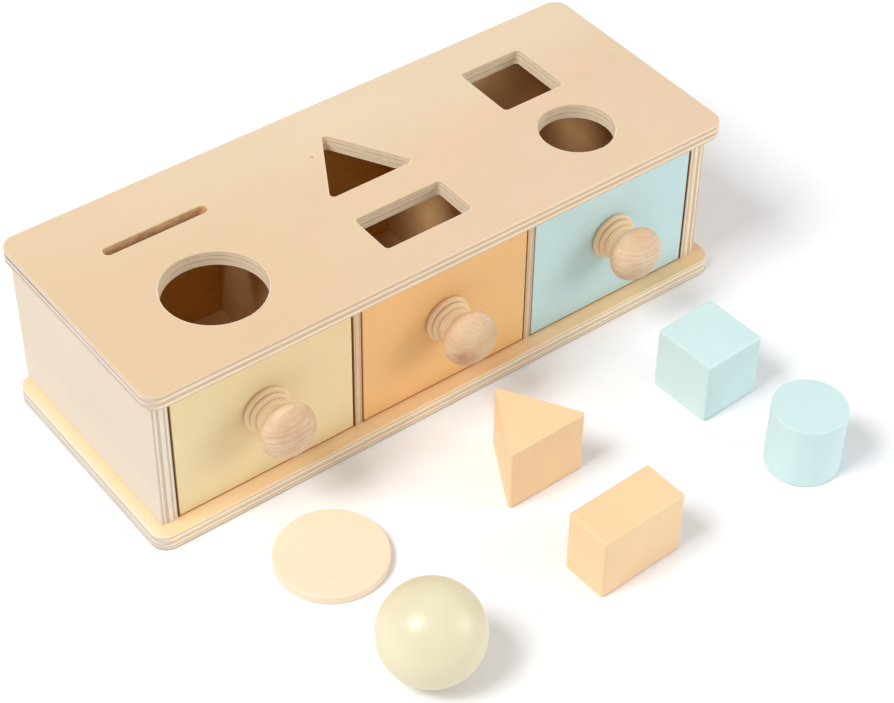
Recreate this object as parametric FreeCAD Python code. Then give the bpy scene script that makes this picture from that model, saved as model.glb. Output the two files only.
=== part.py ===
import FreeCAD, Part
import math
import os

Vector = FreeCAD.Vector

# Wooden shape sorter: a plywood cabinet with three drawers, and six loose painted shapes.
# Millimetres. +X runs along the length, the drawers open towards -Y, +Z is up.
# The origin is the centre of the base panel's underside, so the floor is z = 0.

# ---------------------------------------------------------------- driving dimensions
TOP_LENGTH = 350.0
TOP_DEPTH = 138.0
BASE_LENGTH = 353.0
BASE_DEPTH = 138.0
HEIGHT = 101.6
BOARD = 9.0              # side panels, back panel and drawer fronts
TOP_BOARD = 8.7          # 9 mm ply, sanded down
BASE_BOARD = 9.3         # 9 mm ply with its lacquer
DIVIDER = 4.1            # the two boards between the drawers
CORNER_RADIUS = 8.5      # plan corners of the top and base
EDGE_RADIUS = 0.6        # eased edges of the top and base

SIDE_OUTER = 169.9       # outer face of each side panel
CABINET_FRONT = -60.3    # front edges of the sides and dividers
CABINET_BACK = 68.0
DIVIDER_CENTRE = 53.8
HOUSING = 3.0            # depth of the grooves that hold the dividers

FRONT_LIFT = 0.6         # gap under each drawer front
FRONT_DROP = 0.8         # gap over each drawer front
RUNNING = 0.4            # under each drawer bottom
WALL = 6.0               # drawer walls
BOTTOM = 3.0             # drawer bottoms
WALL_TOP = 89.5
WALL_INSET = 0.4
REAR_FACE = 49.5         # inner face of a drawer's rear wall

FRONT_SIDES = {
    "yellow": (-159.4, -57.2),
    "orange": (-50.6, 51.0),
    "blue": (56.6, 159.4),
}

KNOB_HEIGHT = 53.0
HEAD_RADIUS = 14.9       # the turned head is wider than it is deep
HEAD_CENTRE = 19.1       # distance of its widest ring from the drawer front
HEAD_REAR = 8.6          # depth of the head behind its widest ring
HEAD_NOSE = 11.2         # depth of the head in front of its widest ring
NECK_RADIUS = 8.4
NOSE_FLAT = 0.4          # the lathe's centre mark at the tip of the head

FRONT_SOFT = 0.4         # sanded corners of the drawer fronts and side panels
SHAPE_SOFT = 0.8         # sanded rims of the disc and the cylinder
BLOCK_SOFT = 1.7         # sanded edges of the cube and the block
PRISM_UPRIGHT_SOFT = 1.7
PRISM_RIM_SOFT = 1.1

SHAPE_HEIGHT = 37.8      # the four tall shapes stand this high
COIN_RADIUS = 28.5
COIN_THICKNESS = 5.0
BALL_RADIUS = 25.8
PRISM_SIDE = 48.9
BLOCK_LENGTH = 51.1
BLOCK_WIDTH = 26.1
CUBE_SIDE = 37.2
CYLINDER_RADIUS = 19.2

COIN_PLACE = (-112.3, -119.3)
BALL_PLACE = (-114.2, -201.2)
PRISM_PLACE = (-0.6, -130.0)
BLOCK_PLACE = (0.3, -201.3)
CUBE_PLACE = (110.8, -136.5)
CYLINDER_PLACE = (114.9, -205.0)

BASE_TOP = BASE_BOARD
ROOF = HEIGHT - TOP_BOARD
SIDE_INNER = SIDE_OUTER - BOARD
BACK_INNER = CABINET_BACK - BOARD
PIN_CLEARANCE = 0.05

os.makedirs("parts", exist_ok=True)


def save(node, shape):
    shape.exportStep("parts/" + node + ".step")


def board(x_low, x_high, y_low, y_high, z_low, z_high):
    size = (x_high - x_low, y_high - y_low, z_high - z_low)
    return Part.makeBox(size[0], size[1], size[2], Vector(x_low, y_low, z_low))


def upright_edges(shape):
    found = []
    for edge in shape.Edges:
        box = edge.BoundBox
        if box.XLength < 0.01 and box.YLength < 0.01:
            found.append(edge)
    return found


def flat_edges_at(shape, height, x_limit=1000.0, y_limit=1000.0):
    found = []
    for edge in shape.Edges:
        box = edge.BoundBox
        level = abs(box.ZMin - height) < 0.01 and abs(box.ZMax - height) < 0.01
        inside = max(abs(box.XMin), abs(box.XMax)) < x_limit
        inside = inside and max(abs(box.YMin), abs(box.YMax)) < y_limit
        if level and inside:
            found.append(edge)
    return found


def panel(length, depth, z_low, z_high):
    """A board with rounded plan corners and eased edges, centred on the origin."""
    plate = board(-length / 2, length / 2, -depth / 2, depth / 2, z_low, z_high)
    plate = plate.makeFillet(CORNER_RADIUS, upright_edges(plate))
    plate = plate.makeFillet(EDGE_RADIUS, flat_edges_at(plate, z_high))
    return plate.makeFillet(EDGE_RADIUS, flat_edges_at(plate, z_low))


def peg(start, direction, radius, length):
    return Part.makeCylinder(radius, length, start, direction)


UP = Vector(0, 0, 1)
INWARDS = Vector(0, 1, 0)

# ---------------------------------------------------------------- top panel openings
SLOT = (-108.3, 31.5)
SLOT_LENGTH = 58.8
SLOT_WIDTH = 5.8
LARGE_ROUND = (-108.5, -20.8)
LARGE_ROUND_RADIUS = 26.4
TRIANGLE = (-0.2, 15.7)
TRIANGLE_SIDE = 51.8
RECTANGLE = (0.0, -33.3)
RECTANGLE_LENGTH = 52.0
RECTANGLE_WIDTH = 27.1
SQUARE = (107.8, 25.1)
SQUARE_SIDE = 38.4
SMALL_ROUND = (108.9, -27.3)
SMALL_ROUND_RADIUS = 20.0
CUT_CORNER = 2.2
RIM_RADIUS = 0.7

CUT_LOW = ROOF - 2.0
CUT_HEIGHT = TOP_BOARD + 4.0


def triangle_prism(centre, side, z_low, height, corner):
    """An upright prism on an equal-sided triangle with its apex towards +Y."""
    reach = side / math.sqrt(3.0)
    points = []
    for turn in (90.0, 210.0, 330.0, 90.0):
        angle = math.radians(turn)
        x = centre[0] + reach * math.cos(angle)
        y = centre[1] + reach * math.sin(angle)
        points.append(Vector(x, y, z_low))
    face = Part.Face(Part.makePolygon(points))
    prism = face.extrude(Vector(0, 0, height))
    return prism.makeFillet(corner, upright_edges(prism))


def block_cut(centre, length, width):
    cut = board(centre[0] - length / 2, centre[0] + length / 2,
                centre[1] - width / 2, centre[1] + width / 2,
                CUT_LOW, CUT_LOW + CUT_HEIGHT)
    return cut.makeFillet(CUT_CORNER, upright_edges(cut))


def round_cut(centre, radius):
    return peg(Vector(centre[0], centre[1], CUT_LOW), UP, radius, CUT_HEIGHT)


def slot_cut(centre, length, width):
    half = (length - width) / 2
    middle = board(centre[0] - half, centre[0] + half,
                   centre[1] - width / 2, centre[1] + width / 2,
                   CUT_LOW, CUT_LOW + CUT_HEIGHT)
    left = round_cut((centre[0] - half, centre[1]), width / 2)
    right = round_cut((centre[0] + half, centre[1]), width / 2)
    return middle.fuse([left, right]).removeSplitter()


# ---------------------------------------------------------------- cabinet fixings
SIDE_CENTRE = SIDE_OUTER - BOARD / 2
BACK_CENTRE = CABINET_BACK - BOARD / 2
FIXING_SPOTS = []
for y in (-45.0, 4.0, 45.0):
    FIXING_SPOTS.append((-SIDE_CENTRE, y))
    FIXING_SPOTS.append((SIDE_CENTRE, y))
for x in (-110.0, 0.0, 110.0):
    FIXING_SPOTS.append((x, BACK_CENTRE))

DOWEL_RADIUS = 2.5
DOWEL_LENGTH = 20.0
DOWEL_IN_TOP = 6.0

SCREW_RADIUS = 1.75
SCREW_HEAD_RADIUS = 3.6
SCREW_HEAD_HEIGHT = 2.4
SCREW_LENGTH = 28.0
SCREW_SUNK = 0.3


def dowel(x, y, clearance):
    start = Vector(x, y, ROOF + DOWEL_IN_TOP - DOWEL_LENGTH - clearance)
    pin = peg(start, UP, DOWEL_RADIUS + clearance, DOWEL_LENGTH + 2 * clearance)
    if clearance:
        return pin
    return pin.makeChamfer(0.6, pin.Edges[0:1] + pin.Edges[2:3])


def screw_body(x, y, clearance):
    """A countersunk screw pointing up, as a lathe shape; clearance makes its pilot hole."""
    r = SCREW_RADIUS + clearance
    head = SCREW_HEAD_RADIUS + clearance
    low = SCREW_SUNK if clearance == 0 else -1.0
    tip = SCREW_SUNK + SCREW_LENGTH + clearance
    outline = [
        Vector(0, 0, low),
        Vector(head, 0, low),
        Vector(head, 0, SCREW_SUNK + 0.3),
        Vector(r, 0, SCREW_SUNK + SCREW_HEAD_HEIGHT),
        Vector(r, 0, tip - 3.0),
        Vector(0.4, 0, tip),
        Vector(0, 0, tip),
        Vector(0, 0, low),
    ]
    face = Part.Face(Part.makePolygon(outline))
    body = face.revolve(Vector(0, 0, 0), UP, 360)
    body.translate(Vector(x, y, 0))
    return body


def screw(x, y):
    body = screw_body(x, y, 0)
    for turn in (0, 90):
        bar = board(-1.9, 1.9, -0.45, 0.45, 0, SCREW_SUNK + 1.3)
        bar.rotate(Vector(0, 0, 0), UP, turn)
        bar.translate(Vector(x, y, 0))
        body = body.cut(bar)
    return body


top_holes = [dowel(x, y, PIN_CLEARANCE) for x, y in FIXING_SPOTS]
screw_holes = [screw_body(x, y, PIN_CLEARANCE) for x, y in FIXING_SPOTS]

# ---------------------------------------------------------------- cabinet boards
DIVIDER_SLOTS = []
for centre in (-DIVIDER_CENTRE, DIVIDER_CENTRE):
    DIVIDER_SLOTS.append(board(centre - DIVIDER / 2, centre + DIVIDER / 2,
                               CABINET_FRONT, BACK_INNER,
                               BASE_TOP - HOUSING, ROOF + HOUSING))

top = panel(TOP_LENGTH, TOP_DEPTH, ROOF, HEIGHT)
cuts = [
    slot_cut(SLOT, SLOT_LENGTH, SLOT_WIDTH),
    round_cut(LARGE_ROUND, LARGE_ROUND_RADIUS),
    triangle_prism(TRIANGLE, TRIANGLE_SIDE, CUT_LOW, CUT_HEIGHT, CUT_CORNER),
    block_cut(RECTANGLE, RECTANGLE_LENGTH, RECTANGLE_WIDTH),
    block_cut(SQUARE, SQUARE_SIDE, SQUARE_SIDE),
    round_cut(SMALL_ROUND, SMALL_ROUND_RADIUS),
]
top = top.cut(cuts)
top = top.makeFillet(RIM_RADIUS, flat_edges_at(top, HEIGHT, 160.0, 60.0))
top = top.cut(DIVIDER_SLOTS + top_holes)
save("top_panel", top)

base = panel(BASE_LENGTH, BASE_DEPTH, 0.0, BASE_TOP)
base = base.cut(DIVIDER_SLOTS + screw_holes)
save("base_panel", base)

for side, name in ((-1, "left_side_panel"), (1, "right_side_panel")):
    x_low = min(side * SIDE_OUTER, side * SIDE_INNER)
    upright = board(x_low, x_low + BOARD, CABINET_FRONT, CABINET_BACK, BASE_TOP, ROOF)
    soft = [edge for edge in upright_edges(upright)
            if abs(abs(edge.BoundBox.Center.x) - SIDE_OUTER) < 0.01]
    upright = upright.makeFillet(FRONT_SOFT, soft)
    save(name, upright.cut(top_holes + screw_holes))

for slot_board, name in zip(DIVIDER_SLOTS, ("left_divider", "right_divider")):
    save(name, slot_board)

back = board(-SIDE_INNER, SIDE_INNER, BACK_INNER, CABINET_BACK, BASE_TOP, ROOF)
save("back_panel", back.cut(top_holes + screw_holes))

save("top_dowels", Part.makeCompound([dowel(x, y, 0) for x, y in FIXING_SPOTS]))
save("base_screws", Part.makeCompound([screw(x, y) for x, y in FIXING_SPOTS]))

# ---------------------------------------------------------------- drawers
FRONT_BACK = CABINET_FRONT + BOARD
WALL_END = BACK_INNER - RUNNING
FRONT_LOW = BASE_TOP + FRONT_LIFT
FRONT_HIGH = ROOF - FRONT_DROP
BOTTOM_LOW = BASE_TOP + RUNNING
FLOOR = BOTTOM_LOW + BOTTOM

BOLT_RADIUS = 2.0
BOLT_HEAD_RADIUS = 4.0
BOLT_HEAD_HEIGHT = 2.4
BOLT_IN_KNOB = 14.0
SMALL_DOWEL_RADIUS = 1.5
SMALL_DOWEL_LENGTH = 14.0
SMALL_DOWEL_IN_FRONT = 6.0
PIN_RADIUS = 0.7
PIN_LENGTH = 12.0


COLLAR = [(12.2, 0.0), (12.7, 0.6), (12.9, 1.5), (12.8, 2.4), (12.2, 3.0), (11.2, 3.4)]
BEAD = [(11.0, 3.8), (11.5, 4.3), (11.6, 4.9), (11.2, 5.5), (10.4, 5.9), (9.4, 6.2)]
NECK = [(9.2, 6.6), (9.5, 7.1), (9.4, 7.9), (8.8, 8.8), (8.4, 10.0)]


def knob(x):
    """The turned knob: collar, bead, neck and flattened head, lathed about -Y."""
    def spot(radius, out):
        return Vector(x + radius, CABINET_FRONT - out, KNOB_HEIGHT)

    edges = [Part.makeLine(spot(0, 0), spot(*COLLAR[0]))]
    last = None
    for ring in (COLLAR, BEAD, NECK):
        if last is not None:
            edges.append(Part.makeLine(last, spot(*ring[0])))
        curve = Part.BSplineCurve()
        curve.interpolate([spot(radius, out) for radius, out in ring])
        edges.append(curve.toShape())
        last = spot(*ring[-1])

    join = math.acos(NECK_RADIUS / HEAD_RADIUS)
    centre = spot(0, HEAD_CENTRE)
    rear = Part.ArcOfEllipse(Part.Ellipse(centre, HEAD_RADIUS, HEAD_REAR), 0.0, join)
    tip = 1.5 * math.pi + math.asin(NOSE_FLAT / HEAD_RADIUS)
    front = Part.ArcOfEllipse(Part.Ellipse(centre, HEAD_RADIUS, HEAD_NOSE), tip, 2 * math.pi)
    nose_out = HEAD_CENTRE - HEAD_NOSE * math.sin(tip)
    root = spot(NECK_RADIUS, HEAD_CENTRE - HEAD_REAR * math.sin(join))
    edges.append(Part.makeLine(last, root))
    edges.append(rear.toShape())
    edges.append(front.toShape())
    edges.append(Part.makeLine(spot(NOSE_FLAT, nose_out), spot(0, nose_out)))
    edges.append(Part.makeLine(spot(0, nose_out), spot(0, 0)))

    face = Part.Face(Part.Wire(Part.__sortEdges__(edges)))
    turned = face.revolve(Vector(x, 0, KNOB_HEIGHT), Vector(0, 1, 0), 360)
    pilot = peg(Vector(x, CABINET_FRONT - BOLT_IN_KNOB - 0.5, KNOB_HEIGHT), INWARDS,
                BOLT_RADIUS + PIN_CLEARANCE, BOLT_IN_KNOB + 1.0)
    return turned.cut(pilot)


def knob_bolt(x):
    shank = peg(Vector(x, CABINET_FRONT - BOLT_IN_KNOB, KNOB_HEIGHT), INWARDS,
                BOLT_RADIUS, BOLT_IN_KNOB + BOARD + 0.2)
    head = peg(Vector(x, FRONT_BACK, KNOB_HEIGHT), INWARDS, BOLT_HEAD_RADIUS, BOLT_HEAD_HEIGHT)
    rim = [edge for edge in head.Edges if abs(edge.BoundBox.YMin - head.BoundBox.YMax) < 0.01]
    head = head.makeFillet(1.2, rim)
    bolt = shank.fuse(head).removeSplitter()
    face_y = FRONT_BACK + BOLT_HEAD_HEIGHT
    for size in ((2.2, 0.45), (0.45, 2.2)):
        bolt = bolt.cut(board(x - size[0], x + size[0], face_y - 1.3, face_y + 1,
                              KNOB_HEIGHT - size[1], KNOB_HEIGHT + size[1]))
    return bolt


def drawer(colour, x_low, x_high):
    middle = (x_low + x_high) / 2
    outer_low = x_low + WALL_INSET
    outer_high = x_high - WALL_INSET
    wall_centres = (outer_low + WALL / 2, outer_high - WALL / 2)

    dowels = []
    dowel_holes = []
    for x in wall_centres:
        for z in (28.0, 66.0):
            start = Vector(x, FRONT_BACK - SMALL_DOWEL_IN_FRONT, z)
            dowels.append(peg(start, INWARDS, SMALL_DOWEL_RADIUS, SMALL_DOWEL_LENGTH))
            loose = Vector(x, start.y - PIN_CLEARANCE, z)
            dowel_holes.append(peg(loose, INWARDS, SMALL_DOWEL_RADIUS + PIN_CLEARANCE,
                                   SMALL_DOWEL_LENGTH + 2 * PIN_CLEARANCE))

    pins = []
    pin_holes = []
    pin_spots = [(x, y) for x in wall_centres for y in (-40.0, 0.0, 44.0)]
    pin_spots.append((middle, REAR_FACE + WALL / 2))
    for x, y in pin_spots:
        pins.append(peg(Vector(x, y, BOTTOM_LOW + 0.1), UP, PIN_RADIUS, PIN_LENGTH))
        pin_holes.append(peg(Vector(x, y, BOTTOM_LOW - 1), UP, PIN_RADIUS + PIN_CLEARANCE,
                             PIN_LENGTH + 1.2))

    front = board(x_low, x_high, CABINET_FRONT, FRONT_BACK, FRONT_LOW, FRONT_HIGH)
    front = front.makeFillet(FRONT_SOFT, front.Edges)
    bolt_hole = peg(Vector(middle, CABINET_FRONT - 1, KNOB_HEIGHT), INWARDS,
                    BOLT_RADIUS + PIN_CLEARANCE, BOARD + 2)
    save(colour + "_front", front.cut(dowel_holes + [bolt_hole]))

    left = board(outer_low, outer_low + WALL, FRONT_BACK, WALL_END, FLOOR, WALL_TOP)
    right = board(outer_high - WALL, outer_high, FRONT_BACK, WALL_END, FLOOR, WALL_TOP)
    rear = board(outer_low + WALL, outer_high - WALL, REAR_FACE, REAR_FACE + WALL,
                 FLOOR, WALL_TOP)
    save(colour + "_left_wall", left.cut(dowel_holes + pin_holes))
    save(colour + "_right_wall", right.cut(dowel_holes + pin_holes))
    save(colour + "_rear_wall", rear.cut(pin_holes))

    bottom = board(outer_low, outer_high, FRONT_BACK, WALL_END, BOTTOM_LOW, FLOOR)
    save(colour + "_bottom", bottom.cut(pin_holes))

    save(colour + "_knob", knob(middle))
    save(colour + "_knob_screw", knob_bolt(middle))
    save(colour + "_dowels", Part.makeCompound(dowels))
    save(colour + "_bottom_pins", Part.makeCompound(pins))


for colour, (x_low, x_high) in FRONT_SIDES.items():
    drawer(colour, x_low, x_high)


# ---------------------------------------------------------------- loose shapes
def turn_about(shape, place, degrees):
    shape.rotate(Vector(place[0], place[1], 0), UP, degrees)
    return shape


def loose_box(place, length, width, degrees):
    solid = board(place[0] - length / 2, place[0] + length / 2,
                  place[1] - width / 2, place[1] + width / 2, 0, SHAPE_HEIGHT)
    solid = solid.makeFillet(BLOCK_SOFT, solid.Edges)
    return turn_about(solid, place, degrees)


coin = peg(Vector(COIN_PLACE[0], COIN_PLACE[1], 0), UP, COIN_RADIUS, COIN_THICKNESS)
coin_rims = [edge for edge in coin.Edges if edge.BoundBox.ZLength < 0.01]
save("coin_disc", coin.makeFillet(SHAPE_SOFT, coin_rims))

ball_centre = Vector(BALL_PLACE[0], BALL_PLACE[1], BALL_RADIUS)
save("ball", Part.makeSphere(BALL_RADIUS, ball_centre))

prism = triangle_prism(PRISM_PLACE, PRISM_SIDE, 0, SHAPE_HEIGHT, PRISM_UPRIGHT_SOFT)
prism = prism.makeFillet(PRISM_RIM_SOFT, flat_edges_at(prism, SHAPE_HEIGHT))
prism = prism.makeFillet(PRISM_RIM_SOFT, flat_edges_at(prism, 0))
save("triangular_prism", turn_about(prism, PRISM_PLACE, 1.2))

save("rectangular_block", loose_box(BLOCK_PLACE, BLOCK_LENGTH, BLOCK_WIDTH, 2.6))
save("cube", loose_box(CUBE_PLACE, CUBE_SIDE, CUBE_SIDE, 2.8))

rod = peg(Vector(CYLINDER_PLACE[0], CYLINDER_PLACE[1], 0), UP, CYLINDER_RADIUS, SHAPE_HEIGHT)
rod_rims = [edge for edge in rod.Edges if edge.BoundBox.ZLength < 0.01 and len(edge.Vertexes) == 1]
save("cylinder", rod.makeFillet(SHAPE_SOFT, rod_rims))
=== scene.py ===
"""Looks for the wooden shape sorter: materials, light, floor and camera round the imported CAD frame."""

import math

import bpy
from mathutils import Matrix, Vector


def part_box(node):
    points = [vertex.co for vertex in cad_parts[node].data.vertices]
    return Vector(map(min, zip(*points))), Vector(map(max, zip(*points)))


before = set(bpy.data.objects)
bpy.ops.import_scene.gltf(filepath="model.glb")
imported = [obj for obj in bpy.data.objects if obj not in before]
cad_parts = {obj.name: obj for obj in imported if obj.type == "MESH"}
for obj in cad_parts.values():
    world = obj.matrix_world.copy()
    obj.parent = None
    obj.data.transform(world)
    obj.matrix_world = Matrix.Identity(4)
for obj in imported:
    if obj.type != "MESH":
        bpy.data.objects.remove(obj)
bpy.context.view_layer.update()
scene = bpy.context.scene
scene.view_settings.view_transform = "Standard"
scene.view_settings.look = "None"

MM = 0.001
X, Y, Z = 0, 1, 2
COLOURS = ("yellow", "orange", "blue")


# ------------------------------------------------------------------ colour and node helpers
def srgb(red, green, blue):
    """A colour given as 0-255 display values, as linear values with alpha."""
    linear = []
    for value in (red, green, blue):
        part = value / 255
        if part <= 0.04045:
            linear.append(part / 12.92)
        else:
            linear.append(((part + 0.055) / 1.055) ** 2.4)
    return (linear[0], linear[1], linear[2], 1.0)


def lighter(colour, factor):
    """The same colour with its linear values scaled."""
    return tuple(min(1.0, part * factor) for part in colour[:3]) + (1.0,)


class Graph:
    """A material's node tree, with short calls for the nodes used here."""

    def __init__(self, name):
        self.material = bpy.data.materials.new(name)
        self.material.use_nodes = True
        self.nodes = self.material.node_tree.nodes
        self.links = self.material.node_tree.links
        self.nodes.clear()
        self.output = self.nodes.new("ShaderNodeOutputMaterial")
        self.shader = self.nodes.new("ShaderNodeBsdfPrincipled")
        self.links.new(self.shader.outputs["BSDF"], self.output.inputs["Surface"])
        coordinates = self.nodes.new("ShaderNodeTexCoord")
        self.here = coordinates.outputs["Object"]
        self.facing = coordinates.outputs["Normal"]

    def put(self, socket, value):
        if isinstance(value, bpy.types.NodeSocket):
            self.links.new(value, socket)
        else:
            socket.default_value = value

    def math(self, operation, first, second=0.0, third=0.0):
        node = self.nodes.new("ShaderNodeMath")
        node.operation = operation
        self.put(node.inputs[0], first)
        self.put(node.inputs[1], second)
        self.put(node.inputs[2], third)
        return node.outputs[0]

    def parts(self, vector):
        node = self.nodes.new("ShaderNodeSeparateXYZ")
        self.put(node.inputs[0], vector)
        return node.outputs

    def moved(self, vector, scale=(1, 1, 1), offset=(0, 0, 0), turn=0.0):
        """The place scaled, turned about Z and then shifted."""
        node = self.nodes.new("ShaderNodeMapping")
        self.put(node.inputs["Vector"], vector)
        node.inputs["Scale"].default_value = scale
        node.inputs["Rotation"].default_value = (0.0, 0.0, math.radians(turn))
        node.inputs["Location"].default_value = offset
        return node.outputs[0]

    def noise(self, vector, scale, detail=3.0, roughness=0.5, distortion=0.0):
        node = self.nodes.new("ShaderNodeTexNoise")
        self.put(node.inputs["Vector"], vector)
        node.inputs["Scale"].default_value = scale
        node.inputs["Detail"].default_value = detail
        node.inputs["Roughness"].default_value = roughness
        node.inputs["Distortion"].default_value = distortion
        return node.outputs["Fac"]

    def ramp(self, value, stops):
        """stops are (position, colour or grey level)."""
        node = self.nodes.new("ShaderNodeValToRGB")
        elements = node.color_ramp.elements
        while len(elements) < len(stops):
            elements.new(0.5)
        for element, (position, colour) in zip(elements, stops):
            element.position = position
            if isinstance(colour, (int, float)):
                colour = (colour, colour, colour, 1.0)
            element.color = colour
        self.put(node.inputs["Fac"], value)
        return node.outputs["Color"]

    def mix(self, factor, first, second, blend="MIX"):
        node = self.nodes.new("ShaderNodeMix")
        node.data_type = "RGBA"
        node.blend_type = blend
        self.put(node.inputs[0], factor)
        self.put(node.inputs[6], first)
        self.put(node.inputs[7], second)
        return node.outputs[2]

    def bump(self, height, strength, distance):
        node = self.nodes.new("ShaderNodeBump")
        node.inputs["Strength"].default_value = strength
        node.inputs["Distance"].default_value = distance
        self.put(node.inputs["Height"], height)
        return node.outputs[0]

    def finish(self, colour, roughness, normal=None, specular=0.5):
        self.put(self.shader.inputs["Base Color"], colour)
        self.put(self.shader.inputs["Roughness"], roughness)
        self.shader.inputs["Specular IOR Level"].default_value = specular
        if normal is not None:
            self.put(self.shader.inputs["Normal"], normal)
        return self.material


def dress(node_name, material):
    """Gives a CAD node one material, and leaves its mesh alone."""
    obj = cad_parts[node_name]
    obj.data.materials.clear()
    obj.data.materials.append(material)


# ------------------------------------------------------------------ veneer and plywood
def veneer(g, grain_axis, tones, seed, contrast=1.0):
    """Rotary-cut birch: long fibres, broad streaks, faint growth contours, soft clouds and fine pores."""
    stretch = [1.0, 1.0, 1.0]
    stretch[grain_axis] = 0.035
    lined = g.moved(g.here, stretch, (seed, seed * 0.7, seed * 1.3))
    loose = [1.0, 1.0, 1.0]
    loose[grain_axis] = 0.22
    swept = g.moved(g.here, loose, (seed * 1.9, seed * 0.3, seed))
    fibre = g.noise(lined, 1500.0, 3.0, 0.6)
    streak = g.noise(lined, 230.0, 3.0, 0.5, 0.3)
    hills = g.noise(swept, 19.0, 1.5, 0.4)
    contour = g.math("SINE", g.math("MULTIPLY", hills, 95.0))
    cloud = g.noise(g.moved(g.here, (1, 1, 1), (seed, seed, seed)), 13.0, 2.0)
    depth = g.math("MULTIPLY_ADD", fibre, 0.35, g.math("MULTIPLY", streak, 0.55))
    depth = g.math("MULTIPLY_ADD", contour, 0.018, depth)
    spread = 0.13 / contrast
    shade = g.ramp(depth, [(0.45 - spread, 0.0), (0.45 + spread, 1.0)])
    colour = g.mix(shade, tones["dark"], tones["light"])
    colour = g.mix(g.ramp(cloud, [(0.40, 0.0), (0.62, 0.8)]), colour, tones["tint"])
    pores = g.ramp(g.noise(lined, 3300.0, 1.0), [(0.66, 0.0), (0.74, 0.30)])
    colour = g.mix(pores, colour, tones["pore"])
    return colour, fibre, streak


def layered_edge(g, depth, layers, tones, ply_axis, grain_axis):
    """Edge of a board: alternate layers, thin glue lines, fibres and end-grain ticks.

    Every second layer runs across the first. A layer is darker where the edge cuts across its grain.
    """
    along = [0.07, 0.07, 0.07]
    along[ply_axis] = 1.0
    drawn = g.moved(g.here, along)
    wander = g.math("SUBTRACT", g.noise(g.here, 55.0, 2.0), 0.5)
    depth = g.math("MULTIPLY_ADD", wander, 0.045, depth)
    stops = []
    glue = []
    for order, (start, end) in enumerate(zip(layers, layers[1:])):
        tone = float(order % 2)
        stops += [(start + 0.012, tone), (end - 0.012, tone)]
        if order:
            glue += [(start - 0.014, 0.0), (start, 1.0), (start + 0.014, 0.0)]
    crossed = g.ramp(depth, stops)
    line = g.ramp(depth, glue)
    cross_axis = 3 - ply_axis - grain_axis
    facing = g.parts(g.facing)
    along_grain = g.math("MULTIPLY", facing[grain_axis], facing[grain_axis])
    across_grain = g.math("MULTIPLY", facing[cross_axis], facing[cross_axis])
    total = g.math("ADD", g.math("ADD", along_grain, across_grain), 0.0001)
    swap = g.math("DIVIDE", along_grain, total)
    both = g.math("MULTIPLY", g.math("MULTIPLY", crossed, swap), 2.0)
    band = g.math("SUBTRACT", g.math("ADD", crossed, swap), both)
    ticks = g.noise(g.here, 2100.0, 2.0, 0.7)
    fibres = g.noise(drawn, 900.0, 3.0, 0.6)
    light = g.mix(g.ramp(fibres, [(0.36, 0.55), (0.6, 0.0)]), tones["ply_light"], tones["ply_mid"])
    dark = g.mix(g.ramp(ticks, [(0.40, 0.45), (0.60, 0.0)]), tones["ply_dark"], tones["ply_deep"])
    colour = g.mix(band, light, dark)
    patchy = g.ramp(g.noise(g.here, 34.0, 1.0), [(0.40, 0.10), (0.62, 0.75)])
    colour = g.mix(g.math("MULTIPLY", line, patchy), colour, tones["glue"])
    return colour, ticks


# Where each board's layers start and end, as fractions of its thickness from the outer face.
TOP_LAYERS = (0.0, 0.115, 0.276, 0.471, 0.678, 0.88, 0.96, 1.0)
BASE_LAYERS = (0.0, 0.04, 0.17, 0.355, 0.57, 0.71, 0.83, 1.0)
SIDE_LAYERS = (0.0, 0.155, 0.30, 0.48, 0.73, 0.855, 0.955, 1.0)
FIVE_LAYERS = (0.0, 0.14, 0.36, 0.64, 0.86, 1.0)
THREE_LAYERS = (0.0, 0.28, 0.72, 1.0)
SKIN = 0.35 * MM         # the face veneer that shows no layers
HIGHLIGHT_RIM_WIDTH = 0.8 * MM     # the painted highlight along the rim of the outer face
HIGHLIGHT_RIM_START = 0.05 * MM


def plywood(node_name, ply_axis, grain_axis, tones, layers, seed,
            from_high=False, contrast=1.0, details=None):
    """Board material: veneered faces and layered edges, counted from the outer face along ply_axis.

    details changes the colour of parts of the board. It is called with the graph, the colour, the edge
    mask and the depth from the outer face.
    """
    low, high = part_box(node_name)
    g = Graph("ply_" + node_name)
    face, fibre, streak = veneer(g, grain_axis, tones, seed, contrast)
    place = g.parts(g.here)[ply_axis]
    thickness = high[ply_axis] - low[ply_axis]
    if from_high:
        depth = g.math("DIVIDE", g.math("SUBTRACT", high[ply_axis], place), thickness)
    else:
        depth = g.math("DIVIDE", g.math("SUBTRACT", place, low[ply_axis]), thickness)
    edge, ticks = layered_edge(g, depth, layers, tones, ply_axis, grain_axis)
    skin = SKIN / thickness
    inside = g.ramp(depth, [(skin, 0.0), (2 * skin, 1.0), (1 - 2 * skin, 1.0), (1 - skin, 0.0)])
    colour = g.mix(inside, face, edge)
    # Painted highlight: a paler band along the rim of the outer face.
    rim_far = HIGHLIGHT_RIM_WIDTH / thickness
    rim_near = HIGHLIGHT_RIM_START / thickness
    rim = g.ramp(depth, [(0.0, 0.0), (rim_near, 0.35), (rim_far / 2, 0.35), (rim_far, 0.0)])
    colour = g.mix(rim, colour, tones["rim"])
    if details is not None:
        colour = details(g, colour, inside, depth)
    face_height = g.math("MULTIPLY_ADD", fibre, 0.6, g.math("MULTIPLY", streak, 0.4))
    height = g.mix(inside, face_height, ticks)
    normal = g.bump(height, 0.22, 0.12 * MM)
    face_roughness = g.ramp(fibre, [(0.3, 0.46), (0.7, 0.60)])
    edge_roughness = g.ramp(ticks, [(0.3, 0.70), (0.7, 0.86)])
    roughness = g.mix(inside, face_roughness, edge_roughness)
    dress(node_name, g.finish(colour, roughness, normal, 0.3))


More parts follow.
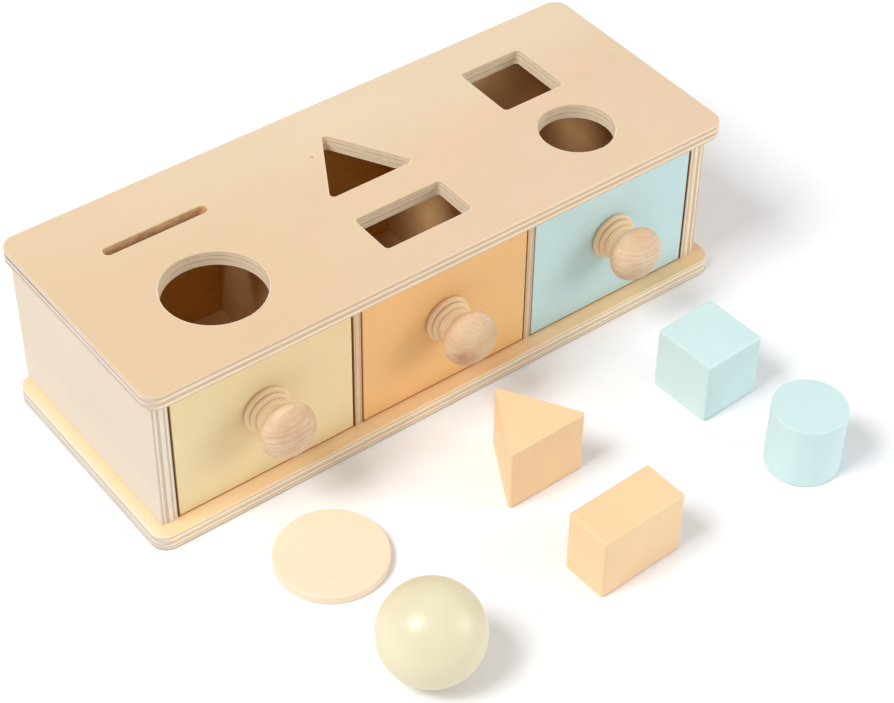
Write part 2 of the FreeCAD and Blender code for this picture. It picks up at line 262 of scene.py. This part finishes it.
def wood_tones(light, dark, tint, ply_light=(246, 225, 197), ply_dark=(216, 192, 162)):
    """The colours of one board: its veneer's three tones, its light and dark layers, and the painted
    highlight on its rim.
    """
    ply_light = srgb(*ply_light)
    ply_dark = srgb(*ply_dark)
    return {
        "light": srgb(*light),
        "dark": srgb(*dark),
        "tint": srgb(*tint),
        "pore": lighter(srgb(*dark), 0.72),
        "ply_light": ply_light,
        "ply_mid": lighter(ply_light, 0.86),
        "ply_dark": ply_dark,
        "ply_deep": lighter(ply_dark, 0.74),
        "glue": lighter(ply_dark, 0.42),
        "rim": lighter(ply_light, 1.04),
    }


TOP_TONES = wood_tones((225, 199, 168), (218, 190, 156), (224, 197, 169))
BASE_TONES = wood_tones((249, 218, 175), (239, 202, 154), (245, 211, 165),
                        (252, 235, 209), (226, 204, 175))
LEFT_TONES = wood_tones((217, 204, 184), (212, 198, 176), (218, 203, 182),
                        (240, 231, 214), (210, 196, 174))
RIGHT_TONES = wood_tones((228, 208, 180), (220, 198, 168), (226, 204, 174))
DIVIDER_TONES = wood_tones((214, 184, 150), (204, 172, 136), (210, 178, 142),
                           (226, 198, 164), (208, 178, 144))
DRAWER_TONES = wood_tones((240, 198, 143), (228, 184, 126), (235, 192, 135),
                          (242, 202, 146), (228, 186, 130))
# Painted shade: the blue drawer's walls are a darker copy of the others.
BLUE_DRAWER_SHADED_TONES = wood_tones((204, 158, 112), (192, 146, 98), (200, 154, 106),
                               (208, 164, 120), (194, 148, 106))
REAR_TONES = wood_tones((231, 181, 92), (219, 167, 76), (227, 175, 84),
                        (234, 186, 100), (220, 170, 88))
# Painted light: the blue drawer's rear wall is a paler copy of the others.
BLUE_REAR_LIT_TONES = wood_tones((253, 214, 156), (244, 200, 142), (250, 210, 150),
                             (254, 216, 160), (242, 200, 146))

# The top's face: the seed and colour of each kind of patch, and the places that differ from the rest.
TOP_PATCHES = ((3.1, srgb(232, 196, 164)), (8.7, srgb(222, 202, 165)))
BACK_STRIP = srgb(228, 208, 178)
WARM_LEFT = srgb(218, 189, 152)
KNOT = (-14.5, 33.2, 101.6)
KNOT_RADIUS = 0.75
KNOT_BROWN = srgb(120, 84, 48)
HALF_DEPTH = 69.0 * MM
# The openings: the part of the top that they lie in, and the colours of their walls and rims: painted
# light on the walls, a painted highlight on the near rims and the lip, and painted shade on the far rims.
OPENINGS_REACH = (160 * MM, 60 * MM)
TO_BACK_RIGHT = (0.61, 0.79)
HOLE_WALL_PAINTED_LIGHT = srgb(255, 236, 204)
HOLE_LINE = srgb(142, 106, 68)
HOLE_LIP_HIGHLIGHT = srgb(255, 240, 220)
FRONT_LEFT_RIM_SHADE = srgb(214, 188, 152)
BACK_RIGHT_RIM_HIGHLIGHT = srgb(255, 242, 222)
# The coin slot is routed and rubbed smooth, so its walls show no layers.
SLOT_MIDDLE = (-108.3 * MM, 31.5 * MM)
SLOT_REACH = (31.5 * MM, 4.5 * MM)
SLOT_WALL = srgb(250, 203, 150)
SLOT_SHADE = srgb(84, 48, 22)
# A dark glue line shows on the top's left edge.
LEFT_EDGE = -174.0 * MM
GLUE_LINE = srgb(120, 104, 78)
# Left-facing edges get a darker, cooler tint, which is painted light. The base has a paler left margin
# and a painted contact shadow on its lowest layer and underside.
LEFT_FACING_PAINTED_TINT = srgb(232, 238, 252)
MARGIN_WIDTH = 6.0 * MM
MARGIN_PALE = srgb(240, 224, 194)
LOWEST_LAYER_PAINTED_SHADOW = srgb(150, 126, 98)
SIDE_HEIGHT = 93.0 * MM
LEFT_FOOT = srgb(224, 213, 196)
# Inside the cabinet the boards are bare wood, painted browner and more orange as shade and bounce light,
# and darkest, in painted shade, in the gaps round the drawer fronts.
BARE_WOOD_PAINTED_SHADE = srgb(212, 149, 68)
GAP_SHADE = srgb(168, 112, 44)
front_low, front_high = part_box("yellow_front")
left_low, left_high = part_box("left_side_panel")
right_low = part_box("right_side_panel")[0]


def within(g, part, middle, reach):
    """1 where a coordinate is within reach of a middle value."""
    return g.math("LESS_THAN", g.math("ABSOLUTE", g.math("SUBTRACT", part, middle)), reach)


def spot(g, vector, place, radius):
    """1 at a place given in mm, fading to 0 at radius mm from it."""
    shifted = g.moved(vector, (1, 1, 1), tuple(-part * MM for part in place))
    parts = g.parts(shifted)
    square = g.math("MULTIPLY_ADD", parts[X], parts[X], g.math("MULTIPLY", parts[Y], parts[Y]))
    square = g.math("MULTIPLY_ADD", parts[Z], parts[Z], square)
    return g.ramp(g.math("DIVIDE", g.math("SQRT", square), radius * MM), [(0.2, 1.0), (1.0, 0.0)])


def top_face(g, colour, on_face):
    """Patches in the veneer, a paler strip at the back, a warmer left part and a small dark knot."""
    parts = g.parts(g.here)
    for seed, tone in TOP_PATCHES:
        patches = g.noise(g.moved(g.here, (0.6, 1.0, 1.0), (seed, seed, 0)), 34.0, 3.0)
        strength = g.math("MULTIPLY", g.ramp(patches, [(0.50, 0.0), (0.68, 0.5)]), on_face)
        colour = g.mix(strength, colour, tone)
    towards_back = g.ramp(g.math("DIVIDE", parts[Y], HALF_DEPTH), [(0.15, 0.0), (0.7, 0.65)])
    colour = g.mix(g.math("MULTIPLY", towards_back, on_face), colour, BACK_STRIP)
    leftward = g.math("MULTIPLY_ADD", parts[X], -3.0, 0.15)
    corner = g.math("MULTIPLY_ADD", parts[Y], -1.8, leftward)
    warm = g.math("MULTIPLY", g.ramp(corner, [(0.0, 0.0), (0.70, 0.75)]), on_face)
    colour = g.mix(warm, colour, WARM_LEFT)
    return g.mix(spot(g, g.here, KNOT, KNOT_RADIUS), colour, KNOT_BROWN)


def opening_walls(g, colour, inner, walls, depth):
    """Walls made paler as painted light, thin broken dark lines, a rim above with a painted highlight on
    its near side and painted shade on its far side, and a painted highlight on the lip below.
    """
    facing = g.parts(g.facing)
    away = g.math("MULTIPLY_ADD", facing[X], TO_BACK_RIGHT[X],
                  g.math("MULTIPLY", facing[Y], TO_BACK_RIGHT[Y]))
    # The rims on an opening's front-left side get a painted highlight, those on its back-right side
    # painted shade.
    near_side = g.ramp(g.math("MULTIPLY_ADD", away, 0.5, 0.5), [(0.42, 0.0), (0.58, 1.0)])
    rim = g.ramp(g.math("DIVIDE", depth, 0.09), [(0.0, 0.0), (0.04, 0.9), (0.7, 0.9), (1.0, 0.0)])
    rim_tone = g.mix(near_side, FRONT_LEFT_RIM_SHADE, BACK_RIGHT_RIM_HIGHLIGHT)
    # Painted light: the walls are made paler.
    colour = g.mix(g.math("MULTIPLY", walls, 0.62), colour, HOLE_WALL_PAINTED_LIGHT)
    broken = g.ramp(g.noise(g.here, 160.0, 3.0), [(0.36, 0.25), (0.58, 1.0)])
    lines = g.ramp(depth, [(0.09, 0.0), (0.115, 0.7), (0.14, 0.0), (0.30, 0.0), (0.33, 0.9), (0.36, 0.0),
                           (0.60, 0.0), (0.63, 0.7), (0.66, 0.0)])
    lines = g.math("MULTIPLY", g.math("MULTIPLY", lines, broken), walls)
    colour = g.mix(lines, colour, HOLE_LINE)
    colour = g.mix(g.math("MULTIPLY", rim, inner), colour, rim_tone)
    # Painted highlight on the lip at the foot of the walls.
    lip = g.ramp(depth, [(0.89, 0.0), (0.94, 0.85)])
    return g.mix(g.math("MULTIPLY", lip, inner), colour, HOLE_LIP_HIGHLIGHT)


def coin_slot(g, colour, inside, depth):
    """The slot's walls: brown, with burrs, and dark in the lower part."""
    parts = g.parts(g.here)
    in_x = within(g, parts[X], SLOT_MIDDLE[X], SLOT_REACH[X])
    in_y = within(g, parts[Y], SLOT_MIDDLE[Y], SLOT_REACH[Y])
    mask = g.math("MULTIPLY", inside, g.math("MULTIPLY", in_x, in_y))
    burr = g.noise(g.moved(g.here, (0.5, 1.0, 1.6)), 420.0, 2.0)
    wall = g.mix(g.ramp(burr, [(0.38, 0.0), (0.62, 1.0)]), SLOT_WALL, lighter(SLOT_WALL, 0.72))
    wall = g.mix(g.ramp(depth, [(0.66, 0.0), (0.72, 1.0)]), wall, SLOT_SHADE)
    return g.mix(g.math("MULTIPLY", mask, 0.92), colour, wall)


def left_glue_line(g, colour, depth):
    """A dark glue line along the back half of the top's left edge."""
    parts = g.parts(g.here)
    at_left = g.math("LESS_THAN", parts[X], LEFT_EDGE)
    back_half = g.ramp(g.math("DIVIDE", parts[Y], HALF_DEPTH), [(-0.1, 0.0), (0.35, 0.8)])
    line = g.ramp(depth, [(0.34, 0.0), (0.39, 1.0), (0.45, 1.0), (0.50, 0.0)])
    line = g.math("MULTIPLY", g.math("MULTIPLY", line, at_left), back_half)
    return g.mix(line, colour, GLUE_LINE)


def top_details(g, colour, inside, depth):
    """The top's face, its openings, the coin slot and the left edge."""
    parts = g.parts(g.here)
    colour = top_face(g, colour, g.math("SUBTRACT", 1.0, inside))
    inner = g.math("MULTIPLY", within(g, parts[X], 0.0, OPENINGS_REACH[X]),
                   within(g, parts[Y], 0.0, OPENINGS_REACH[Y]))
    walls = g.math("MULTIPLY", inner, inside)
    colour = opening_walls(g, colour, inner, walls, depth)
    colour = coin_slot(g, colour, inside, depth)
    colour = left_glue_line(g, colour, depth)
    return painted_left_light(g, colour, g.math("SUBTRACT", inside, walls))


def painted_left_light(g, colour, inside):
    """Painted light: faces that look left, where the key light falls, get a darker, cooler tint."""
    leftward = g.ramp(g.math("MULTIPLY", g.parts(g.facing)[X], -1.0), [(0.1, 0.0), (0.8, 1.0)])
    return g.mix(g.math("MULTIPLY", leftward, inside), colour, LEFT_FACING_PAINTED_TINT, "MULTIPLY")


def base_details(g, colour, inside, depth):
    """Bare wood with painted shade behind the drawer fronts, a paler left margin, painted light on the
    left-facing edges and a painted contact shadow on the lowest layer and underside.
    """
    parts = g.parts(g.here)
    on_face = g.math("MULTIPLY", g.math("SUBTRACT", 1.0, inside), g.math("LESS_THAN", depth, 0.5))
    behind = g.math("GREATER_THAN", parts[Y], front_low[Y] + 0.05 * MM)
    right_of = g.math("GREATER_THAN", parts[X], left_high[X])
    left_of = g.math("LESS_THAN", parts[X], right_low[X])
    mask = g.math("MULTIPLY", behind, g.math("MULTIPLY", right_of, left_of))
    # Painted shade: the base's face inside the cabinet is bare wood painted darker.
    colour = g.mix(g.math("MULTIPLY", mask, on_face), colour, BARE_WOOD_PAINTED_SHADE)
    margin = g.math("DIVIDE", g.math("SUBTRACT", left_low[X], parts[X]), MARGIN_WIDTH)
    paler = g.math("MULTIPLY", g.ramp(margin, [(0.0, 0.0), (1.0, 0.75)]), on_face)
    colour = g.mix(paler, colour, MARGIN_PALE)
    # Painted light on the left-facing edges.
    colour = painted_left_light(g, colour, inside)
    # Painted contact shadow: the lowest layer and the whole underside are browned.
    foot = g.ramp(depth, [(0.88, 0.0), (0.96, 0.75)])
    return g.mix(foot, colour, LOWEST_LAYER_PAINTED_SHADOW)


def shaded_gap(g, colour):
    """The strip of an upright face that stands beside a drawer front is in deep shade."""
    place = g.parts(g.here)[Y]
    after = g.math("GREATER_THAN", place, front_low[Y] + 0.5 * MM)
    before = g.math("LESS_THAN", place, front_high[Y])
    return g.mix(g.math("MULTIPLY", g.math("MULTIPLY", after, before), 0.9), colour, GAP_SHADE)


def divider_details(g, colour, inside, depth):
    """Both faces of a divider are shaded beside the drawer fronts."""
    return g.mix(inside, shaded_gap(g, colour), colour)


def left_details(g, colour, inside, depth):
    """The left panel is paler towards its foot, and bare with painted shade inside."""
    height = g.math("DIVIDE", g.parts(g.here)[Z], SIDE_HEIGHT)
    on_face = g.math("SUBTRACT", 1.0, inside)
    foot = g.math("MULTIPLY", g.ramp(height, [(0.12, 0.85), (0.42, 0.0)]), on_face)
    colour = g.mix(foot, colour, LEFT_FOOT)
    return bare_shaded_inner_face(g, colour, True)


def right_details(g, colour, inside, depth):
    """The right panel is bare with painted shade inside."""
    return bare_shaded_inner_face(g, colour, False)


def bare_shaded_inner_face(g, colour, low_side):
    """A side panel's inner face, behind its rounded front edge: bare wood with painted shade, darkest in
    the gap beside the drawer front.
    """
    parts = g.parts(g.here)
    if low_side:
        inner = g.math("GREATER_THAN", parts[X], left_high[X] - 0.3 * MM)
    else:
        inner = g.math("LESS_THAN", parts[X], right_low[X] + 0.3 * MM)
    behind = g.math("GREATER_THAN", parts[Y], front_low[Y] + 0.6 * MM)
    # Painted shade on the bare inner face.
    bare = g.mix(g.math("MULTIPLY", inner, behind), colour, BARE_WOOD_PAINTED_SHADE)
    return g.mix(inner, colour, shaded_gap(g, bare))


plywood("top_panel", Z, X, TOP_TONES, TOP_LAYERS, 1.3,
        from_high=True, contrast=0.38, details=top_details)
plywood("base_panel", Z, X, BASE_TONES, BASE_LAYERS, 2.1,
        from_high=True, contrast=0.7, details=base_details)
plywood("left_side_panel", X, Y, LEFT_TONES, SIDE_LAYERS, 3.7, contrast=0.35, details=left_details)
plywood("right_side_panel", X, Y, RIGHT_TONES, SIDE_LAYERS, 4.9,
        from_high=True, contrast=0.6, details=right_details)
plywood("left_divider", X, Y, DIVIDER_TONES, THREE_LAYERS, 5.3, details=divider_details)
plywood("right_divider", X, Y, DIVIDER_TONES, THREE_LAYERS, 6.1, details=divider_details)
plywood("back_panel", Y, X, RIGHT_TONES, SIDE_LAYERS, 7.7, from_high=True, contrast=0.6)
for number, colour in enumerate(COLOURS):
    tones = BLUE_DRAWER_SHADED_TONES if colour == "blue" else DRAWER_TONES
    plywood(colour + "_left_wall", X, Y, tones, FIVE_LAYERS, 8.1 + number)
    plywood(colour + "_right_wall", X, Y, tones, FIVE_LAYERS, 11.3 + number, from_high=True)
    rear_tones = BLUE_REAR_LIT_TONES if colour == "blue" else REAR_TONES
    plywood(colour + "_rear_wall", Y, X, rear_tones, FIVE_LAYERS, 14.7 + number, from_high=True)
    plywood(colour + "_bottom", Z, X, tones, THREE_LAYERS, 17.9 + number)


# ------------------------------------------------------------------ paint
EDGE_HIGHLIGHT_WIDTH = 1.3 * MM
FRONT_ROUGHNESS = 0.42
SHAPE_ROUGHNESS = 0.40
BALL_ROUGHNESS = 0.29
EDGE_PAINT_DEPTH = 1.2 * MM    # the clean paint on a drawer front's edges, before its painted gap shade starts
REAR_SKIN = 0.3 * MM
FRONT_TONES = {"yellow": srgb(238, 219, 171), "orange": srgb(243, 194, 131), "blue": srgb(200, 227, 227)}
SHAPE_PALE = srgb(242, 222, 195)
BALL_PALE = srgb(224, 214, 180)
SHAPE_ORANGE = srgb(241, 206, 160)
SHAPE_BLUE = srgb(202, 227, 227)
SHAPE_HEIGHT = 37.8


def near_edge(g, distances, width):
    """1 where two surfaces meet, fading to 0 at width: from the distance to each surface, in metres."""
    first, second = distances[0], distances[1]
    nearest = g.math("MINIMUM", first, second)
    next_nearest = g.math("MAXIMUM", first, second)
    for distance in distances[2:]:
        next_nearest = g.math("MINIMUM", next_nearest, g.math("MAXIMUM", nearest, distance))
        nearest = g.math("MINIMUM", nearest, distance)
    return g.ramp(g.math("DIVIDE", next_nearest, width), [(0.0, 1.0), (1.0, 0.0)])


def box_distances(g, vector, half):
    parts = g.parts(vector)
    return [g.math("SUBTRACT", half[axis], g.math("ABSOLUTE", parts[axis])) for axis in range(3)]


def turned_distances(g, vector, radius, half_length):
    parts = g.parts(vector)
    square = g.math("MULTIPLY_ADD", parts[X], parts[X], g.math("MULTIPLY", parts[Y], parts[Y]))
    round_gap = g.math("SUBTRACT", radius, g.math("SQRT", square))
    return [round_gap, g.math("SUBTRACT", half_length, g.math("ABSOLUTE", parts[Z]))]


def paint(name, tone, roughness, grain_axis, centre, seed, turn=0.0, distances=None, rear=None,
          relief=0.10, shine=0.35, speckle=0.15, fineness=700.0):
    """Satin paint over smooth wood: slight mottling, grain that shows through, and a painted highlight
    that makes the edges paler.

    distances gives how far a place is from each surface, for the painted edge highlight. rear gives where
    a drawer front's painted edge turns to painted gap shade, and where its bare rear face, in painted
    shade, starts.
    """
    g = Graph(name)
    stretch = [1.0, 1.0, 1.0]
    if grain_axis is not None:
        stretch[grain_axis] = 0.06
    shifted = g.moved(g.here, (1, 1, 1), tuple(-part for part in centre))
    local = g.moved(shifted, (1, 1, 1), (0, 0, 0), -turn)
    lined = g.moved(local, stretch, (seed, seed, seed))
    cloud = g.noise(g.moved(local, (1, 1, 1), (seed, 0, seed)), 26.0, 2.0)
    grain = g.noise(lined, fineness, 3.0, 0.6)
    peel = g.noise(local, 1300.0, 2.0)
    blend = g.math("MULTIPLY_ADD", cloud, 0.65, g.math("MULTIPLY", grain, 0.35))
    mottle = g.ramp(blend, [(0.36, 0.0), (0.64, 1.0)])
    colour = g.mix(mottle, lighter(tone, 0.965), lighter(tone, 1.02))
    specks = g.ramp(g.noise(local, 1900.0, 1.0), [(0.74, 0.0), (0.80, speckle)])
    colour = g.mix(specks, colour, lighter(tone, 0.85))
    # Painted highlight: the paint is made paler near the edges.
    if distances is not None:
        edge = near_edge(g, distances(g, local), EDGE_HIGHLIGHT_WIDTH)
        uneven = g.ramp(g.noise(local, 240.0, 3.0), [(0.35, 0.10), (0.65, 0.45)])
        edge_highlight = g.math("MULTIPLY", edge, uneven)
        colour = g.mix(edge_highlight, colour, lighter(tone, 1.05))
    # Painted shade on the front's edges in the gap, and bare wood with painted shade on its rear face.
    if rear is not None:
        place = g.parts(g.here)[Y]
        in_gap = g.math("GREATER_THAN", place, rear[0])
        colour = g.mix(g.math("MULTIPLY", in_gap, 0.6), colour, GAP_SHADE)
        colour = g.mix(g.math("GREATER_THAN", place, rear[1]), colour, BARE_WOOD_PAINTED_SHADE)
    height = g.math("MULTIPLY_ADD", grain, 0.6, g.math("MULTIPLY", peel, 0.4))
    normal = g.bump(height, relief, 0.04 * MM) if relief else None
    gloss = g.ramp(grain, [(0.3, roughness), (0.7, roughness + 0.10)])
    return g.finish(colour, gloss, normal, shine)


def middle(node_name):
    low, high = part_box(node_name)
    return (low + high) / 2


for number, colour in enumerate(COLOURS):
    node = colour + "_front"
    low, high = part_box(node)
    half = (high - low) / 2

    def front_distances(g, vector, half=half):
        return box_distances(g, vector, half)

    rear = (low[Y] + EDGE_PAINT_DEPTH, high[Y] - REAR_SKIN)
    material = paint(node + "_paint", FRONT_TONES[colour], FRONT_ROUGHNESS, X, middle(node), 1.7 * number,
                     distances=front_distances, rear=rear)
    dress(node, material)


def box_shape(node, tone, size, turn, seed):
    """Paints a block: its size in mm and its turn about Z in degrees."""
    half = tuple(part * MM / 2 for part in size)

    def distances(g, vector):
        return box_distances(g, vector, half)

    material = paint(node + "_paint", tone, SHAPE_ROUGHNESS, Y, middle(node), seed,
                     turn=turn, distances=distances)
    dress(node, material)


def round_shape(node, tone, radius, length, seed):
    """Paints an upright cylinder or disc: its radius and height in mm."""
    def distances(g, vector):
        return turned_distances(g, vector, radius * MM, length * MM / 2)

    material = paint(node + "_paint", tone, SHAPE_ROUGHNESS, Z, middle(node), seed, distances=distances)
    dress(node, material)


round_shape("coin_disc", SHAPE_PALE, 28.5, 5.0, 0.4)
ball_paint = paint("ball_paint", BALL_PALE, BALL_ROUGHNESS, None, middle("ball"), 0.9,
                   relief=0.0, shine=0.5, speckle=0.0, fineness=60.0)
dress("ball", ball_paint)
prism_paint = paint("prism_paint", SHAPE_ORANGE, SHAPE_ROUGHNESS, Z, middle("triangular_prism"), 1.6,
                    turn=1.2)
dress("triangular_prism", prism_paint)
box_shape("rectangular_block", SHAPE_ORANGE, (51.1, 26.1, SHAPE_HEIGHT), 2.6, 2.3)
box_shape("cube", SHAPE_BLUE, (37.2, 37.2, SHAPE_HEIGHT), 2.8, 3.1)
round_shape("cylinder", SHAPE_BLUE, 19.2, SHAPE_HEIGHT, 4.2)


# ------------------------------------------------------------------ turned beech and steel
# Turned lines on a knob: mm in front of the drawer front, and how much painted shade each one gets.
GROOVES = ((1.3, 0.22), (3.6, 0.6), (5.0, 0.25), (6.4, 0.6), (8.0, 0.22), (9.4, 0.2))
COLLAR_LENGTH = 12.0
# The collar's colours: painted paler than the head, as painted light on a part that lies in shade.
COLLAR_LIT_DARK = srgb(243, 208, 161)
COLLAR_LIT_PALE = srgb(255, 238, 202)
# Painted shade in the grooves and where the collar meets the drawer front.
GROOVE_PAINTED_SHADE = srgb(170, 114, 66)
# The brown of the patches: heartwood, and painted shade on the yellow knob.
HEARTWOOD_AND_SHADE = srgb(190, 144, 112)
RING_SPACING = 3.1 * MM


def beech(name, centre, pale, brown, lean, figure, seed, front=None, blotches=()):
    """Turned beech: growth lines running across the knob, fine fibres and short ray flecks.

    front is the plane that a knob stands on; its collar is painted paler and warmer as painted light, and
    its grooves get painted shade.
    blotches are brown patches, heartwood and painted shade: place from the knob's middle and radius in
    mm, and strength.
    """
    g = Graph(name)
    local = g.moved(g.here, (1, 1, 1), tuple(-part for part in centre))
    parts = g.parts(local)
    warp = g.math("SUBTRACT", g.noise(g.moved(local, (0.35, 0.6, 1.0), (seed, 0, seed)), 70.0, 2.0), 0.5)
    height = g.math("MULTIPLY_ADD", parts[X], lean, parts[Z])
    curved = g.math("MULTIPLY_ADD", g.math("MULTIPLY", parts[X], parts[X]), 9.0, height)
    phase = g.math("MULTIPLY_ADD", warp, 34.0, g.math("MULTIPLY", curved, 2.0 * math.pi / RING_SPACING))
    rings = g.math("MULTIPLY_ADD", g.math("SINE", phase), 0.5, 0.5)
    fibre = g.noise(g.moved(local, (0.05, 0.4, 1.0), (0, seed, 0)), 1300.0, 3.0, 0.6)
    patch = g.noise(g.moved(local, (0.6, 1.0, 1.0), (seed, seed, 0)), 75.0, 2.0)
    faint = g.ramp(g.noise(g.moved(local, (0.5, 1.0, 1.0), (0, 0, seed)), 90.0, 1.0),
                   [(0.42, 0.05 * figure), (0.64, figure)])
    plain = g.math("MULTIPLY_ADD", fibre, 0.30, g.math("MULTIPLY", patch, 0.66))
    tone = g.math("MULTIPLY_ADD", rings, faint, plain)
    colour = g.mix(g.ramp(tone, [(0.30, 0.0), (0.70, 1.0)]), brown, pale)
    flecks = g.noise(g.moved(local, (0.16, 1.0, 1.0)), 1700.0, 1.0)
    colour = g.mix(g.ramp(flecks, [(0.30, 0.30), (0.38, 0.0)]), colour, lighter(brown, 0.78))
    # Brown patches: heartwood, and on the yellow knob painted shade.
    for place, radius, strength in blotches:
        ragged = g.ramp(g.noise(local, 260.0, 3.0), [(0.35, 0.55 * strength), (0.6, strength)])
        stain = g.math("MULTIPLY", spot(g, local, place, radius), ragged)
        colour = g.mix(stain, colour, HEARTWOOD_AND_SHADE)
    if front is not None:
        out = g.math("DIVIDE", g.math("SUBTRACT", front, g.parts(g.here)[Y]), COLLAR_LENGTH * MM)
        collar = g.ramp(out, [(0.0, 0.75), (0.75, 0.75), (1.0, 0.0)])
        # Painted light: the collar is made paler and warmer.
        colour = g.mix(collar, colour, g.mix(fibre, COLLAR_LIT_DARK, COLLAR_LIT_PALE))
        # Painted shade in the grooves and at the collar's foot.
        stops = [(0.0, 0.8), (0.05, 0.0)]
        for groove, depth in GROOVES:
            along = groove / COLLAR_LENGTH
            stops += [(along - 0.03, 0.0), (along, depth), (along + 0.03, 0.0)]
        colour = g.mix(g.ramp(out, stops), colour, GROOVE_PAINTED_SHADE)
    normal = g.bump(g.math("MULTIPLY_ADD", fibre, 0.7, g.math("MULTIPLY", rings, 0.3)), 0.12, 0.06 * MM)
    return g.finish(colour, g.ramp(fibre, [(0.3, 0.54), (0.7, 0.66)]), normal, 0.2)


def steel(name):
    """Zinc-plated steel with fine scuffs."""
    g = Graph(name)
    scuffs = g.noise(g.here, 900.0, 3.0)
    g.shader.inputs["Metallic"].default_value = 1.0
    colour = g.mix(g.ramp(scuffs, [(0.3, 0.0), (0.7, 1.0)]), STEEL_DARK, STEEL_PALE)
    roughness = g.ramp(scuffs, [(0.3, 0.26), (0.7, 0.46)])
    return g.finish(colour, roughness, g.bump(scuffs, 0.2, 0.03 * MM))


STEEL_DARK = srgb(160, 160, 163)
STEEL_PALE = srgb(206, 206, 208)
BEECH_PALE = srgb(229, 204, 175)
BEECH_BROWN = srgb(205, 170, 133)
# For each knob: how the growth lines lean, how strong they are, and its brown patches: heartwood on the
# orange knob, painted shade on the yellow knob.
KNOB_LOOK = {
    "yellow": (-0.16, 0.20, (((-2.0, -12.0, 6.0), 13.0, 0.55),)),
    "orange": (0.80, 0.08, (((-10.4, -12.2, -3.2), 9.5, 1.0), ((4.1, -10.1, 11.9), 1.5, 0.7))),
    "blue": (0.04, 0.14, ()),
}
zinc = steel("zinc_steel")
dowel_wood = beech("dowel_beech", (0, 0, 0), BEECH_PALE, BEECH_BROWN, 0.0, 0.2, 0.5)
dress("base_screws", zinc)
dress("top_dowels", dowel_wood)
for number, colour in enumerate(COLOURS):
    node = colour + "_knob"
    low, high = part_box(node)
    lean, figure, blotches = KNOB_LOOK[colour]
    wood = beech(node + "_beech", middle(node), BEECH_PALE, BEECH_BROWN, lean, figure, number + 1.3,
                 front=high[Y], blotches=blotches)
    dress(node, wood)
    dress(colour + "_knob_screw", zinc)
    dress(colour + "_bottom_pins", zinc)
    dress(colour + "_dowels", dowel_wood)

# ------------------------------------------------------------------ floor
FLOOR_REACH = 6.0
FLOOR_DROP = 0.1 * MM    # so that it doesn't share a plane with the undersides
mesh = bpy.data.meshes.new("floor")
corners = [(-FLOOR_REACH, -FLOOR_REACH, -FLOOR_DROP), (FLOOR_REACH, -FLOOR_REACH, -FLOOR_DROP),
           (FLOOR_REACH, FLOOR_REACH, -FLOOR_DROP), (-FLOOR_REACH, FLOOR_REACH, -FLOOR_DROP)]
mesh.from_pydata(corners, [], [(0, 1, 2, 3)])
floor = bpy.data.objects.new("floor", mesh)
scene.collection.objects.link(floor)
g = Graph("floor_white")
mottle = g.noise(g.here, 6.0, 3.0)
white = g.mix(mottle, srgb(247, 247, 249), srgb(250, 250, 252))
mesh.materials.append(g.finish(white, 0.9, None, 0.0))

# ------------------------------------------------------------------ light
WORLD_STRENGTH = 0.535
LIT_MIDDLE = (0.0, -0.08, 0.03)
world = bpy.data.worlds.new("studio")
scene.world = world
world.use_nodes = True
world.node_tree.nodes["Background"].inputs["Color"].default_value = (1.0, 1.0, 1.0, 1.0)
world.node_tree.nodes["Background"].inputs["Strength"].default_value = WORLD_STRENGTH


def softbox(name, direction, distance, size, power):
    """A square area light, distance away from the middle of the scene along direction."""
    data = bpy.data.lights.new(name, "AREA")
    data.shape = "SQUARE"
    data.size = size
    data.energy = power
    lamp = bpy.data.objects.new(name, data)
    scene.collection.objects.link(lamp)
    away = Vector(direction).normalized()
    lamp.location = Vector(LIT_MIDDLE) + away * distance
    lamp.rotation_euler = away.to_track_quat("Z", "Y").to_euler()
    return lamp


softbox("key", (-0.60, 0.05, 0.80), distance=3.2, size=1.25, power=70.0)
softbox("fill", (0.68, -0.63, 0.37), distance=2.2, size=1.2, power=16.8)

# ------------------------------------------------------------------ camera
CAMERA_PLACE = (-0.51946, -0.72998, 0.82236)
CAMERA_TURN = 37.869     # degrees right of straight ahead
CAMERA_TILT = 43.098     # degrees down
CAMERA_ROLL = -0.972
LENS = 92.285

data = bpy.data.cameras.new("camera")
data.sensor_width = 36.0
data.lens = LENS
camera = bpy.data.objects.new("camera", data)
scene.collection.objects.link(camera)
turn = Matrix.Rotation(math.radians(-CAMERA_TURN), 4, "Z")
tilt = Matrix.Rotation(math.radians(90 - CAMERA_TILT), 4, "X")
roll = Matrix.Rotation(math.radians(-CAMERA_ROLL), 4, "Z")
camera.matrix_world = Matrix.Translation(CAMERA_PLACE) @ turn @ tilt @ roll
scene.camera = camera
